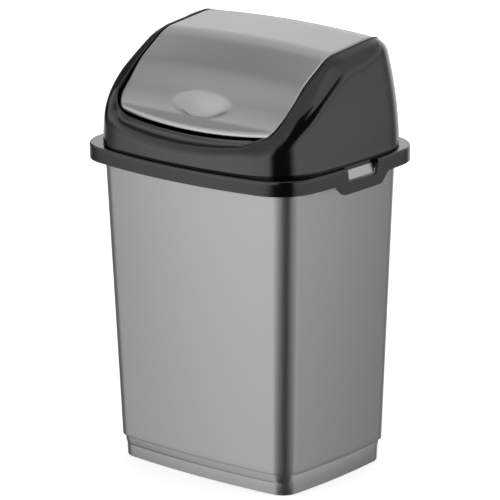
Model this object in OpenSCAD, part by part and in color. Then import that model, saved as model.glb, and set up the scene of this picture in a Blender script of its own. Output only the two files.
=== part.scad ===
// Countertop bin with a swinging flap: a tapered bucket, a domed hood that
// snaps over its rim, and a flap that swings in the hood's opening.
// Millimetres. X is the width, the front faces -Y, Z is up, and the origin
// is the centre of the footprint on the table.

/* [Bucket] */
// Width of the foot on the table
foot_w = 148.4; // [135:1:152]
// Depth of the foot on the table
foot_d = 110.2; // [98:1:114]
// Height of the recessed plinth under the body
plinth_h = 14.8; // [8:1:24]
// Width of the body just above the plinth
body_w = 152.4; // [150:1:160]
// Depth of the body just above the plinth
body_d = 116.4; // [112:1:124]
// Width of the body just under the rim
mouth_w = 168.8; // [160:1:171]
// Depth of the body just under the rim
mouth_d = 130.2; // [124:1:134]
// Height of the bucket's rim above the table
bucket_h = 217.6; // [150:1:300]
// Corner radius of the body at the bottom
body_r = 12.5; // [8:0.5:20]
// Corner radius of the body at the mouth
mouth_r = 14.2; // [10:0.5:20]
// Wall thickness of the bucket
bucket_wall = 1.7; // [1.2:0.1:2.4]
// Height of the floor's underside above the table
floor_lift = 3; // [2:0.5:8]
// Depth of the lip that hangs from the rim's edge
rim_lip = 5; // [4:0.5:8]

/* [Hood] */
// Width over the collar
collar_w = 190; // [188:0.5:200]
// Depth over the collar
collar_d = 159.4; // [157:0.5:168]
// Corner radius of the collar
collar_r = 30.6; // [26:0.5:34]
// Height of the collar's skirt
collar_h = 10.1; // [8:0.5:14]
// Wall thickness of the hood
hood_wall = 1.8; // [1.4:0.1:2.2]
// Width of the collar's flat top outside the hood's foot
collar_ledge = 4; // [3:0.5:5]
// Corner radius of the hood's foot
hood_r = 38.5; // [34:0.5:42]
// Corner radius of the hood's front corners in plan
hood_front_r = 44.5; // [39:0.5:50]
// Height of the bead round the hood's foot
bead_h = 1.5; // [1:0.1:2]
// Height of the hood's crest over its collar
crest_rise = 74.2; // [68:0.5:80]
// Height of the opening's front lip over the collar
lip_rise = 18.2; // [14:0.2:20]
// Radius of the rounding along the sloping cheek
cheek_round = 7.5; // [5:0.5:9]
// Radius of the rounding along the crest and the front lip
crest_round = 9; // [6:0.5:10]

/* [Opening and flap] */
// Width of the opening in the hood
opening_w = 142; // [132:1:144]
// Depth in plan from the middle of the hood to the opening's front edge
opening_front = 61.2; // [58:0.2:63]
// Depth in plan from the middle of the hood to the opening's rear edge
opening_rear = 56; // [52:0.5:57]
// Gap between the flap and the sides of the opening
flap_gap = 1.3; // [0.8:0.1:2]
// Wall thickness of the flap
flap_wall = 1.7; // [1.4:0.1:2]
// Depth of the flap's side flanges at the pivot
flap_flange = 14; // [13:0.5:16]
// Length of the finger dimple
dimple_w = 50; // [30:1:70]
// Height of the finger dimple up the slope
dimple_h = 20; // [14:1:24]
// Depth of the finger dimple
dimple_depth = 4; // [2:0.5:5]

/* [Pivot] */
// Distance of the pivot in front of the middle of the bin
pivot_front = 8; // [6:0.5:12]
// Depth of the pivot below the crest
pivot_drop = 16; // [15.5:0.5:17]
// Diameter of the pivot pins
pin_d = 6; // [5:0.5:7]
// Radial clearance of the pins in their bores
pin_clear = 0.08; // [0.05:0.01:0.1]

/* [Side catches] */
// Distance of the catches behind the middle of the bin
catch_y = 1.6; // [-4:0.2:4]
// Length of the window at its upper end
window_w = 33; // [26:1:36]
// Height of the window above the skirt's lower edge
window_rise = 0.8; // [0.5:0.1:2]
// Length of the loop where it leaves the skirt
loop_w = 55; // [50:1:60]
// How far the loop hangs below the skirt
loop_drop = 7.1; // [5:0.5:9]
// Length of the catch lug on the bucket
lug_w = 29; // [20:1:30]

/* [Hidden] */

silver = [0.66, 0.66, 0.67];
black = [0.08, 0.08, 0.085];

// Spans per quarter of an outline: front bow, corner and side
STEPS = [5, 6, 8];
FLAP_STEPS = [9, 5, 7];
COLUMN_LIST = [0 : 4 * (STEPS[0] + STEPS[1] + STEPS[2]) - 1];

// Clearances between the mouldings: at the rim, at the lugs, in the opening's
// front and rear, and over the ledge that the flap rests on
seat_gap = 0.4;
lug_gap = 0.4;
front_gap = 1.2;
rear_gap = 0.8;
rest_gap = 0.3;

// Bows of the walls, as the rise of each long curve over its chord
foot_bow = [4, 2.6];
mouth_bow = [6.5, 3.6];
collar_bow = [10.6, 4.7];
opening_bow = [4.6, 0.4];

collar_top = bucket_h + seat_gap + hood_wall;
skirt_base = collar_top - collar_h;
foot_top = collar_top + bead_h;
crest_h = collar_top + crest_rise;
lip_z = collar_top + lip_rise;
pivot_y = -pivot_front;
pivot_z = crest_h - pivot_drop;

// ---------------------------------------------------------------- outlines

function norm2(v) = sqrt(v[0] * v[0] + v[1] * v[1]);

// Points on an arc about c from the direction of p to that of q
function arc(c, r, p, q, steps) =
    let (a = atan2(p[1] - c[1], p[0] - c[0]),
         b = atan2(q[1] - c[1], q[0] - c[0]))
    [for (i = [0 : steps]) let (t = a + (b - a) * i / steps) c + r * [cos(t), sin(t)]];

// First points of a list, without its last one
function most(list) = [for (i = [0 : len(list) - 2]) list[i]];

// A quarter of a bowed rectangle, from [0, -b] to [a, 0]: two large arcs that
// rise by bow[0] and bow[1], joined by a corner of radius r tangent to both
function quarter(a, b, r, bow, steps) =
    let (ax = a - bow[1],
         by = b - bow[0],
         rf = (ax * ax + bow[0] * bow[0]) / (2 * bow[0]),
         rs = (by * by + bow[1] * bow[1]) / (2 * bow[1]),
         cf = [0, rf - b],
         cs = [a - rs, 0],
         d = norm2(cs - cf),
         u = (cs - cf) / d,
         t = (pow(rf - r, 2) - pow(rs - r, 2) + d * d) / (2 * d),
         h = sqrt(pow(rf - r, 2) - t * t),
         c = cf + t * u + h * [-u[1], u[0]],
         pf = cf + rf * (c - cf) / norm2(c - cf),
         ps = cs + rs * (c - cs) / norm2(c - cs))
    concat(most(arc(cf, rf, [0, -b], pf, steps[0])),
           most(arc(c, r, pf, ps, steps[1])),
           arc(cs, rs, ps, [a, 0], steps[2]));

// A closed outline that reaches a to each side, and front and rear in depth.
// The front corners may have a radius of their own.
function outline(a, front, rear, r, bow, steps = STEPS, front_r = 0) =
    let (f = quarter(a, front, max(r, front_r), bow, steps),
         q = quarter(a, rear, r, bow, steps),
         right = concat(f, [for (i = [len(q) - 2 : -1 : 0]) [q[i][0], -q[i][1]]]),
         n = len(right))
    concat(right, [for (i = [n - 2 : -1 : 1]) [-right[i][0], right[i][1]]]);

function even_outline(a, b, r, bow) = outline(a, b, b, r, bow);

function mix(a, b, t) = a + (b - a) * t;

function clamp01(t) = min(1, max(0, t));

function smooth(t) = let (s = clamp01(t)) s * s * (3 - 2 * s);

// Joins closed rings of equal length into one solid. The rings run along the
// skin; the skin closes on itself, or ends in a point above each end ring.
module ring_solid(rings, caps = []) {
    n = len(rings[0]);
    m = len(rings);
    closed = len(caps) == 0;
    spans = closed ? m : m - 1;
    points = concat([for (ring = rings) each ring], caps);
    skin = [for (k = [0 : spans - 1], i = [0 : n - 1])
        let (a = k * n + i,
             b = k * n + (i + 1) % n,
             c = ((k + 1) % m) * n + (i + 1) % n,
             d = ((k + 1) % m) * n + i)
        each [[a, c, b], [a, d, c]]];
    first = closed ? [] : [for (i = [0 : n - 1]) [m * n, i, (i + 1) % n]];
    last = closed ? [] : [for (i = [0 : n - 1])
        [m * n + 1, (m - 1) * n + (i + 1) % n, (m - 1) * n + i]];
    polyhedron(points = points, faces = concat(skin, first, last), convexity = 10);
}

function flat_ring(points, z) = [for (p = points) [p[0], p[1], z]];

// Stands a side view up and extrudes it along the width
module along_width(length) {
    rotate([90, 0, 90])
        linear_extrude(height = length)
        children();
}

// ------------------------------------------------------------------ bucket

// Height at which the body starts to curve out into the rim
RIM_CURVE = 7;
shoulder_z = bucket_h - bucket_wall - RIM_CURVE;

// Plan of the rim, which stays clear of the skirt's inside all round
skirt_gap = 2.6;
rim_a = collar_w / 2 - hood_wall - skirt_gap;
rim_b = collar_d / 2 - hood_wall - skirt_gap;
rim_r = collar_r - hood_wall - skirt_gap;

// Outline of the body at height z, drawn in from the skin by t
function body_ring(z, t = 0) =
    let (k = (z - plinth_h) / (shoulder_z - plinth_h))
    flat_ring(even_outline(mix(body_w, mouth_w, k) / 2 - t,
                           mix(body_d, mouth_d, k) / 2 - t,
                           mix(body_r, mouth_r, k) - t,
                           mix(foot_bow, mouth_bow, k)), z);

// Outline of the plinth at height z, with the same draft as the body
function plinth_ring(z, t = 0) =
    let (draft_w = (mouth_w - body_w) / 2 / (shoulder_z - plinth_h),
         draft_d = (mouth_d - body_d) / 2 / (shoulder_z - plinth_h))
    flat_ring(even_outline(foot_w / 2 + draft_w * z - t,
                           foot_d / 2 + draft_d * z - t,
                           body_r - 1 - t, foot_bow), z);

// Outline of the rim, drawn in from its outer edge by t
function rim_ring(z, t = 0) =
    flat_ring(even_outline(rim_a - t, rim_b - t, rim_r - t, collar_bow), z);

// Ring that lies part of the way from one ring to another, at height z
function between(a, b, k, z) =
    [for (i = [0 : len(a) - 1]) [mix(a[i][0], b[i][0], k), mix(a[i][1], b[i][1], k), z]];

// Rings of the curve from the body, drawn in by t, out to the rim, as pairs
// of a share of the way and a height
function rim_curve(t, stops) =
    [for (s = stops) between(body_ring(shoulder_z, t), rim_ring(0, bucket_wall), s[0], s[1])];

module bucket_shell() {
    w = bucket_wall;
    foot_edge = 0.6;
    step = 0.8;
    cove = 4;
    floor_top = floor_lift + w + 0.3;
    under_rim = bucket_h - w;
    ring_solid(concat(
        [plinth_ring(floor_lift, w + foot_edge), plinth_ring(0, w),
         plinth_ring(0, foot_edge), plinth_ring(foot_edge),
         plinth_ring(plinth_h - step), body_ring(plinth_h, step),
         body_ring(plinth_h + step, step / 8), body_ring(plinth_h + 4 * step),
         body_ring(mix(plinth_h, shoulder_z, 0.5)), body_ring(shoulder_z)],
        rim_curve(0, [[0.12, under_rim - 3], [0.45, under_rim - 0.5]]),
        [rim_ring(under_rim, w), rim_ring(bucket_h - rim_lip, w),
         rim_ring(bucket_h - rim_lip), rim_ring(bucket_h - 1),
         rim_ring(bucket_h - 0.3, 0.3), rim_ring(bucket_h, 1)],
        rim_curve(w, [[0.25, bucket_h], [0.08, bucket_h - 1.2]]),
        [body_ring(shoulder_z, w), body_ring(floor_top + cove, w + 0.1 * cove),
         body_ring(floor_top + 0.3 * cove, w + 0.7 * cove),
         body_ring(floor_top, w + 1.5 * cove)]
    ), [[0, 0, floor_lift], [0, 0, floor_top]]);
}

// Wedge that the hood's loop snaps under: flat below, drawn in at the top,
// with rounded corners in its side view
module catch_lug() {
    face_x = collar_w / 2 - hood_wall - lug_gap;
    low_z = skirt_base + window_rise + 0.3;
    root_x = mouth_w / 2 - bucket_wall / 2;
    slant = 3;
    nose = 0.8;
    corner = 1.6;
    intersection() {
        translate([0, catch_y + lug_w / 2, 0])
            rotate([90, 0, 0])
            linear_extrude(height = lug_w)
            polygon([[root_x, low_z + slant], [rim_a - 2, low_z], [face_x, low_z],
                     [face_x, low_z + nose], [rim_a + nose / 2, bucket_h - nose / 2],
                     [rim_a, bucket_h], [root_x + slant / 2, bucket_h]]);
        translate([root_x - 1, catch_y, 0])
            along_width(collar_w / 2)
            offset(r = corner, $fn = 24)
            translate([-lug_w / 2 + corner, low_z + corner])
            square([lug_w - 2 * corner, bucket_h - low_z - 2 * corner]);
    }
}

module bucket() {
    color(silver) {
        bucket_shell();
        catch_lug();
        mirror([1, 0, 0])
            catch_lug();
    }
}

// -------------------------------------------------------------------- hood

// Half sizes of the hood at its foot: the ledge is a little wider at the sides
// than at the front and rear
SIDE_SET = 0.6;
END_SET = -0.9;
hood_a = collar_w / 2 - collar_ledge - SIDE_SET;
hood_b = collar_d / 2 - collar_ledge - END_SET;

// Lean of the hood's walls: inward run per height, and per height squared
side_lean = [0.025, 0.0008];
front_lean = [0.05, 0];
rear_lean = [0, 0.0018];

function lean(rates, h) = rates[0] * h + rates[1] * h * h;

// The rim's side view over the crest: corner points that arcs of these radii
// round off
profile_corners = [
    [-68, -60.5], [-50, -38], [-28, -18], [-4, -4.6], [44, 0.4], [60, -9], [72, -20]];
profile_radii = [60, 80, 30, 22, 20];

// A line through corner points, rounded at each by an arc of its own radius
function rounded_line(pts, radii, steps) = concat([pts[0]],
    [for (i = [1 : len(pts) - 2])
        let (b = pts[i],
             u = (pts[i - 1] - b) / norm2(pts[i - 1] - b),
             v = (pts[i + 1] - b) / norm2(pts[i + 1] - b),
             half = acos(u * v) / 2,
             c = b + (u + v) / norm2(u + v) * radii[i - 1] / sin(half),
             run = radii[i - 1] / tan(half))
        each arc(c, radii[i - 1], b + u * run, b + v * run, steps)],
    [pts[len(pts) - 1]]);

profile = rounded_line(profile_corners, profile_radii, 8);

function side_z(y) = crest_h + lookup(y, profile);

// Height of the opening's edge over the plan point [x, y]: the side profile
// along the cheeks, a low dished lip across the front, a crown at the rear
lip_dish = 5.6;
rear_crown = 1.6;
cheek_blend = 15;
function edge_z(x, y) =
    let (across = 2 * abs(x) / opening_w)
    y > 0 ? side_z(y) + rear_crown * (1 - across * across)
          : mix(lip_z + lip_dish * across * across, side_z(y),
                smooth((abs(x) - opening_w / 2 + cheek_blend) / cheek_blend));

opening_r = 10.2;

function opening_outline(t) =
    outline(opening_w / 2 + t, opening_front + t, opening_rear + t, opening_r + t,
                    opening_bow);

opening_line = opening_outline(0);
opening_edge = [for (p = opening_line) [p[0], p[1], edge_z(p[0], p[1])]];

// The opening's outline, widened by t in plan and lowered by d
function opening_ring(t, d) =
    let (o = opening_outline(t))
    [for (i = COLUMN_LIST) [o[i][0], o[i][1], opening_edge[i][2] - d]];

// Upright walls that curve inwards as they rise, drawn in from the skin by t
function wall_line(z, t = 0) =
    let (h = z - foot_top)
    outline(hood_a - lean(side_lean, h) - t, hood_b - lean(front_lean, h) - t,
            hood_b - lean(rear_lean, h) - t, hood_r - t, collar_bow, STEPS,
            hood_front_r - t);

function wall_ring(z, t = 0) = flat_ring(wall_line(z, t), z);

// Height of the hood's top outside the opening, over [x, y]: the side profile
// falls outwards along the cheeks, and the front and rear fall a little less
CREST_FALL = 0.15;
CHEEK_FALL = 0.44;
CORNER_BLEND = 4;
function top_z(x, y) =
    let (beyond = abs(x) - opening_w / 2,
         rate = mix(CHEEK_FALL, CREST_FALL, smooth((y - 10) / 35)),
         side = side_z(min(y, opening_rear)) - rate * max(0, beyond) + min(0, beyond),
         front = edge_z(min(abs(x), opening_w / 2 - cheek_blend), -opening_front)
                 - CREST_FALL * max(0, -y - opening_front),
         rear = edge_z(x, opening_rear) - CREST_FALL * max(0, y - opening_rear))
    y > 0 ? mix(side, rear, smooth((y - 35) / 25)) : soft_max(side, front, CORNER_BLEND);

// The larger of two values, blended where they are closer than r
function soft_max(a, b, r) =
    let (t = max(0, r - abs(a - b)) / r)
    max(a, b) + t * t * r / 4;

// Point of the sharp upper edge, where the wall at column i meets the top
function crest_point(i, z, rounds) =
    let (w = wall_line(z)[i],
         top = top_z(w[0], w[1]))
    rounds == 0 ? [w[0], w[1], top] : crest_point(i, mix(z, top, 0.7), rounds - 1);

crest_line = [for (i = COLUMN_LIST) crest_point(i, crest_h - 20, 8)];

// Distance in plan from the sharp edge to the opening at each column
edge_room = [for (i = COLUMN_LIST)
    norm2([opening_line[i][0] - crest_line[i][0], opening_line[i][1] - crest_line[i][1]])];

// Radius of the rounded upper edge at column i, which leaves a flat land
// beside the opening
EDGE_LAND = 1.6;
function rounding(i) =
    let (p = opening_line[i],
         along = smooth((abs(p[0]) - opening_w / 2 + 12) / 8))
    min(mix(crest_round, cheek_round, along * (1 - smooth((p[1] + 20) / 25))),
        edge_room[i] - EDGE_LAND);

// How far inwards from the sharp edge the rounding ends, for a skin at depth t
function round_end(i, t) = min(rounding(i) + t, edge_room[i] - t - EDGE_LAND / 3);

// Wall point of column i, a share k of the way up to where the rounding starts
function wall_point(i, k, t = 0) =
    let (z = mix(foot_top + 0.2, crest_line[i][2] - rounding(i) - t, k),
         w = wall_line(z, t)[i])
    [w[0], w[1], z];

// Point of the cheek at column i, at a distance s inwards from its sharp edge
function cheek_point(i, s, drop = 0) =
    let (c = crest_line[i],
         o = opening_edge[i],
         k = s / edge_room[i])
    mix(c, o, k) - [0, 0, drop];

// Rounded edge of column i, as a curve from the wall to the cheek at share k
function round_point(i, k, t = 0) =
    let (a = wall_point(i, 1, t),
         c = cheek_point(i, round_end(i, t), t),
         sharp = crest_line[i],
         shift = wall_line(sharp[2], t)[i] - wall_line(sharp[2])[i],
         b = sharp + [shift[0], shift[1], -t])
    (1 - k) * (1 - k) * a + 2 * k * (1 - k) * b + k * k * c;

// Outline of the collar at height z, drawn in from its outer edge by t
function collar_ring(z, t = 0) =
    flat_ring(even_outline(collar_w / 2 - t, collar_d / 2 - t, collar_r - t, collar_bow), z);

// Outline of the rib that locates the hood inside the bucket's mouth
function rib_ring(z, t = 0) =
    let (gap = bucket_wall + seat_gap + t)
    flat_ring(even_outline(mouth_w / 2 - gap, mouth_d / 2 - gap, mouth_r, mouth_bow), z);

// Depth of the rib, and of the flange round the opening
rib_drop = 5;
edge_flange = 6;

module hood_shell() {
    w = hood_wall;
    loop_base = skirt_base - loop_drop;
    plate_z = collar_top - w;
    rib_base = plate_z - rib_drop;
    ring_solid([
        collar_ring(loop_base, w),
        collar_ring(loop_base),
        collar_ring(collar_top - 1.2),
        collar_ring(collar_top - 0.35, 0.4),
        collar_ring(collar_top, 1.2),
        flat_ring(wall_line(foot_top, -0.6), collar_top),
        flat_ring(wall_line(foot_top, -0.6), foot_top - 0.4),
        flat_ring(wall_line(foot_top, -0.3), foot_top),
        wall_ring(foot_top + 0.2),
        [for (i = COLUMN_LIST) wall_point(i, 0.35)],
        [for (i = COLUMN_LIST) wall_point(i, 0.7)],
        [for (i = COLUMN_LIST) wall_point(i, 1)],
        [for (i = COLUMN_LIST) round_point(i, 0.25)],
        [for (i = COLUMN_LIST) round_point(i, 0.5)],
        [for (i = COLUMN_LIST) round_point(i, 0.75)],
        [for (i = COLUMN_LIST) cheek_point(i, rounding(i))],
        opening_ring(0.9, 0),
        opening_ring(0.25, 0.25),
        opening_ring(0, 0.9),
        opening_ring(0, edge_flange),
        opening_ring(w, edge_flange),
        opening_ring(w, w),
        [for (i = COLUMN_LIST) cheek_point(i, round_end(i, w), w)],
        [for (i = COLUMN_LIST) round_point(i, 0.6, w)],
        [for (i = COLUMN_LIST) round_point(i, 0.3, w)],
        [for (i = COLUMN_LIST) wall_point(i, 1, w)],
        [for (i = COLUMN_LIST) wall_point(i, 0.6, w)],
        wall_ring(collar_top, w),
        rib_ring(collar_top, w),
        rib_ring(rib_base, w),
        rib_ring(rib_base),
        rib_ring(plate_z),
        collar_ring(plate_z, w)
    ]);
}

// Side view of the loop that hangs from the skirt, with rounded corners
module loop_profile() {
    run = loop_drop * 1.05;
    above = collar_h + 4;
    offset(r = 3, $fn = 32)
        offset(r = -3, $fn = 32)
        polygon([[-loop_w / 2, skirt_base + above], [-loop_w / 2, skirt_base],
                 [-loop_w / 2 + run, skirt_base - loop_drop],
                 [loop_w / 2 - run, skirt_base - loop_drop],
                 [loop_w / 2, skirt_base], [loop_w / 2, skirt_base + above]]);
}

// Side view of the window, narrower at its lower end
module window_profile() {
    low = skirt_base + window_rise;
    taper = 2;
    offset(r = 1, $fn = 24)
        offset(r = -1, $fn = 24)
        polygon([[-window_w / 2 + taper, low], [window_w / 2 - taper, low],
                 [window_w / 2, collar_top + 2], [-window_w / 2, collar_top + 2]]);
}

// Round boss on the outside of the opening's wall, for the pin's bearing
ear_t = 2.6;
ear_wall = 2;
module pivot_ear() {
    translate([opening_w / 2 + 0.02, pivot_y, pivot_z])
        rotate([0, 90, 0])
        cylinder(h = ear_t, r = pin_d / 2 + ear_wall, $fn = 64);
}

// Tongue inside the opening's rear wall, on which the flap comes to rest
module rest_tongue() {
    half_w = 12;
    reach = 3.6;
    top = flap_z(half_w, flap_rear) - EDGE_DEPTH - rest_gap;
    translate([-half_w, opening_rear - reach, top - hood_wall])
        cube([2 * half_w, reach + hood_wall / 2, hood_wall]);
}

module hood() {
    color(black)
    difference() {
        union() {
            hood_shell();
            rest_tongue();
            pivot_ear();
            mirror([1, 0, 0])
                pivot_ear();
        }
        // Trims the skirt, and leaves the two loops
        difference() {
            translate([-collar_w, -collar_d, skirt_base - 2 * loop_drop])
                cube([2 * collar_w, 2 * collar_d, 2 * loop_drop]);
            translate([-collar_w, catch_y, 0])
                along_width(2 * collar_w)
                loop_profile();
        }
        // Windows, open through the collar's ledge
        for (side = [0, 1])
            mirror([side, 0, 0])
            translate([collar_w / 2 - collar_ledge + 0.3, catch_y, 0])
            along_width(2 * collar_ledge)
            window_profile();
        // Bores of the two bearings
        for (side = [0, 1])
            mirror([side, 0, 0])
            translate([opening_w / 2 - 2, pivot_y, pivot_z])
            rotate([0, 90, 0])
            cylinder(h = ear_t + 3, r = pin_d / 2 + pin_clear, $fn = 64);
    }
}

// -------------------------------------------------------------------- flap

flap_a = opening_w / 2 - flap_gap;
flap_front = opening_front - front_gap;
flap_rear = opening_rear - rear_gap;
flap_r = opening_r - 1;
flap_bow = [opening_bow[0] + 0.4, opening_bow[1]];

// The flap's skin over [x, y]: it follows the side profile, sinks below it
// and flares out towards the front, is crowned across its width towards the
// crest, and has a scoop for the finger near its front edge
FRONT_SINK = 4.2;
REAR_SINK = 0.2;
FLAP_CROWN = 2.6;
FLARE = 0.4;
function flap_z(x, y) =
    let (from_front = y + flap_front)
    side_z(y) - mix(FRONT_SINK, REAR_SINK, smooth((from_front - 8) / 28))
    + FLARE * max(0, 6 - from_front)
    + FLAP_CROWN * smooth(from_front / 55) * (1 - pow(x / flap_a, 2))
    - dimple(x, y);

// Depth of the scoop over [x, y], measured upright: an ellipse that is deepest
// towards its lower edge
SLOPE_LENGTH = 1.6;
DIMPLE_RISE = 12.7;
function dimple(x, y) =
    let (u = 2 * x / dimple_w,
         half = dimple_h / 2 / SLOPE_LENGTH,
         v = (y + flap_front - DIMPLE_RISE) / half,
         d = 1 - u * u - v * v)
    d <= 0 ? 0 : dimple_depth * SLOPE_LENGTH * d * (1 - 0.5 * v);

function flap_line(t) =
    outline(flap_a - t, flap_front - t, flap_rear - t, flap_r - t, flap_bow,
                    FLAP_STEPS);

// The outline drawn in by t, shrunk about the middle by s, lowered by d
function flap_ring(s, t, d) =
    [for (p = flap_line(t)) [p[0] * s, p[1] * s, flap_z(p[0] * s, p[1] * s) - d]];

// Depth of the flange under the edge at [x, y]: deep at the pivots
EDGE_DEPTH = 3;
function flange_depth(x, y) =
    let (near_pivot = 1 - smooth((abs(y - pivot_y) - 6) / 26),
         at_side = smooth((abs(x) - flap_a + 8) / 6))
    mix(EDGE_DEPTH, flap_flange, near_pivot * at_side);

function flange_ring(t) =
    [for (p = flap_line(t)) [p[0], p[1], flap_z(p[0], p[1]) - flange_depth(p[0], p[1])]];

// Rings of the skin, as shares of the outline, close together at the scoop
SKIN = [0.955, 0.91, 0.865, 0.82, 0.775, 0.73, 0.68, 0.55, 0.38, 0.2];

module flap_shell() {
    w = flap_wall;
    ring_solid(concat(
        [for (k = [len(SKIN) - 1 : -1 : 0]) flap_ring(SKIN[k], 0, w)],
        [flap_ring(1, w, w), flange_ring(w), flange_ring(0.3), flap_ring(1, 0, 1),
         flap_ring(1, 0.3, 0.25), flap_ring(1, 1, 0)],
        [for (s = SKIN) flap_ring(s, 0, 0)]
    ), [[0, 0, flap_z(0, 0) - w], [0, 0, flap_z(0, 0)]]);
}

module flap() {
    color(silver) {
        flap_shell();
        for (side = [0, 1])
            mirror([side, 0, 0])
            translate([flap_a - flap_wall, pivot_y, pivot_z])
            rotate([0, 90, 0])
            cylinder(h = flap_wall + flap_gap + ear_t - 0.2, r = pin_d / 2, $fn = 64);
    }
}

bucket();
hood();
flap();
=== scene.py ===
import math
from functools import partialmethod

import bmesh
import bpy
import numpy as np
from mathutils import Matrix


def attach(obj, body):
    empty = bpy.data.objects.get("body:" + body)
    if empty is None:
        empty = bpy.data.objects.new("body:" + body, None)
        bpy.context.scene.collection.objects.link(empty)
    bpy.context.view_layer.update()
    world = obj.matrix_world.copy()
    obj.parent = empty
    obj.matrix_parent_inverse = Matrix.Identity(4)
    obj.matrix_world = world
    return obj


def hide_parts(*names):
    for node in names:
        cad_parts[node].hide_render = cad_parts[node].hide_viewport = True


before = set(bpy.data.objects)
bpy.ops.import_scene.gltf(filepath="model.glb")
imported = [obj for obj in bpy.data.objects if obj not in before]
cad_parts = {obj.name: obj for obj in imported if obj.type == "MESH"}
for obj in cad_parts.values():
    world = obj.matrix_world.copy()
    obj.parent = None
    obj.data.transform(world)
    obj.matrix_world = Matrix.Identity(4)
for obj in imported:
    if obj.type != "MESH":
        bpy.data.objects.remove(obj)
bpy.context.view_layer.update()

bl_info = {
    "name": "Countertop bin with a swinging flap",
    "version": (1, 0, 0),
    "blender": (4, 5, 0),
    "location": "3D View > Sidebar > Bin",
    "description": "Builds the bucket, the clip-fit hood and the flap as smooth moulded shells",
    "category": "Add Mesh",
}

MM = 0.001

# Spans per quarter of an outline: long bow, corner and short side
SPANS = (32, 18, 28)


# ---- properties

def length(name, millimetres, description):
    """A length property; the default is given in millimetres."""
    return bpy.props.FloatProperty(
        name=name, description=description, default=millimetres * MM,
        min=0.0, precision=5, unit="LENGTH")


def share(name, default, description, top=1.0):
    """A plain number from 0 to top."""
    return bpy.props.FloatProperty(
        name=name, description=description, default=default, min=0.0, max=top)


def colour(name, default, description):
    """A colour property."""
    return bpy.props.FloatVectorProperty(
        name=name, description=description, default=default, size=3,
        min=0.0, max=1.0, subtype="COLOR")


class BinBucketSizes(bpy.types.PropertyGroup):
    foot_w: length("Foot width", 148.4, "Width of the foot on the table")
    foot_d: length("Foot depth", 110.2, "Depth of the foot on the table")
    plinth_h: length("Plinth height", 14.8, "Height of the recessed plinth")
    body_w: length("Body width", 152.4, "Width of the body above the plinth")
    body_d: length("Body depth", 116.4, "Depth of the body above the plinth")
    mouth_w: length("Mouth width", 168.8, "Width of the body under the rim")
    mouth_d: length("Mouth depth", 130.2, "Depth of the body under the rim")
    bucket_h: length("Bucket height", 217.6, "Height of the rim over the table")
    body_r: length("Lower corner", 12.5, "Corner radius at the bottom")
    mouth_r: length("Upper corner", 14.2, "Corner radius at the mouth")
    wall: length("Wall", 1.7, "Wall thickness of the bucket")
    floor_lift: length("Floor lift", 3.0, "Height of the floor's underside")
    rim_lip: length("Rim lip", 5.0, "Depth of the lip that hangs from the rim")
    lug_w: length("Lug length", 29.0, "Length of the catch lugs")


class BinHoodSizes(bpy.types.PropertyGroup):
    collar_w: length("Collar width", 190.0, "Width over the collar")
    collar_d: length("Collar depth", 159.4, "Depth over the collar")
    collar_r: length("Collar corner", 30.6, "Corner radius of the collar")
    collar_h: length("Skirt height", 10.1, "Height of the collar's skirt")
    wall: length("Wall", 1.8, "Wall thickness of the hood")
    collar_ledge: length("Ledge", 4.0, "Width of the collar's flat top")
    hood_r: length("Rear corner", 38.5, "Radius of the hood's rear corners in plan")
    hood_front_r: length("Front corner", 44.5, "Radius of its front corners in plan")
    recess_h: length("Foot recess", 1.5, "Height of the recess round the foot")
    crest_rise: length("Crest", 74.2, "Height of the crest over the collar")
    lip_rise: length("Front lip", 18.2, "Height of the front lip over the collar")
    cheek_round: length("Cheek rounding", 10.0, "Radius along the sloping cheek")
    crest_round: length("Crest rounding", 9.0, "Radius along the crest and lip")
    catch_y: length("Catch place", 1.6, "Distance of the catches behind the middle")
    window_w: length("Window", 33.0, "Length of the window at its upper end")
    window_rise: length("Window sill", 0.8, "Height of the window over the skirt's edge")
    loop_w: length("Loop", 55.0, "Length of the loop where it leaves the skirt")
    loop_drop: length("Loop drop", 7.1, "How far the loop hangs below the skirt")


class BinFlapSizes(bpy.types.PropertyGroup):
    opening_w: length("Opening width", 142.0, "Width of the hood's opening")
    opening_front: length("Opening front", 61.2, "Middle of the hood to the front edge")
    opening_rear: length("Opening rear", 56.0, "Middle of the hood to the rear edge")
    gap: length("Side gap", 1.3, "Gap between the flap and the opening")
    wall: length("Wall", 1.7, "Wall thickness of the flap")
    flange: length("Flange", 14.0, "Depth of the side flanges at the pivot")
    dimple_w: length("Scoop length", 50.0, "Length of the finger scoop")
    dimple_h: length("Scoop height", 20.0, "Height of the scoop up the slope")
    dimple_depth: length("Scoop depth", 4.0, "Depth of the finger scoop")
    pivot_front: length("Pivot place", 8.0, "Distance of the pivot before the middle")
    pivot_drop: length("Pivot drop", 16.0, "Depth of the pivot below the crest")
    pin_d: length("Pin", 6.0, "Diameter of the pivot pins")
    pin_clear: length("Pin clearance", 0.08, "Radial clearance of the pins")


class BinFinish(bpy.types.PropertyGroup):
    silver: colour("Silver", (0.40, 0.40, 0.405), "Colour of the bucket and flap")
    silver_roughness: share("Silver roughness", 0.30, "Roughness of the silver")
    silver_metal: share("Silver metal", 0.92, "How metallic the silver looks")
    black: colour("Black", (0.0025, 0.0025, 0.0028), "Colour of the hood")
    black_roughness: share("Black roughness", 0.10, "Roughness of the hood")


class BinStage(bpy.types.PropertyGroup):
    light: share("Light", 0.8, "Level of the studio light", 4.0)
    floor: share("Floor", 0.9, "Brightness of the floor")


class Sizes:
    """Reads a group's lengths in millimetres."""

    def __init__(self, group):
        for name in group.__annotations__:
            setattr(self, name, getattr(group, name) / MM)


def sizes():
    """The sizes of the bucket, the hood and the flap, in millimetres."""
    s = bpy.context.scene
    return Sizes(s.bin_bucket), Sizes(s.bin_hood), Sizes(s.bin_flap)


# ---- fits

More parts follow.
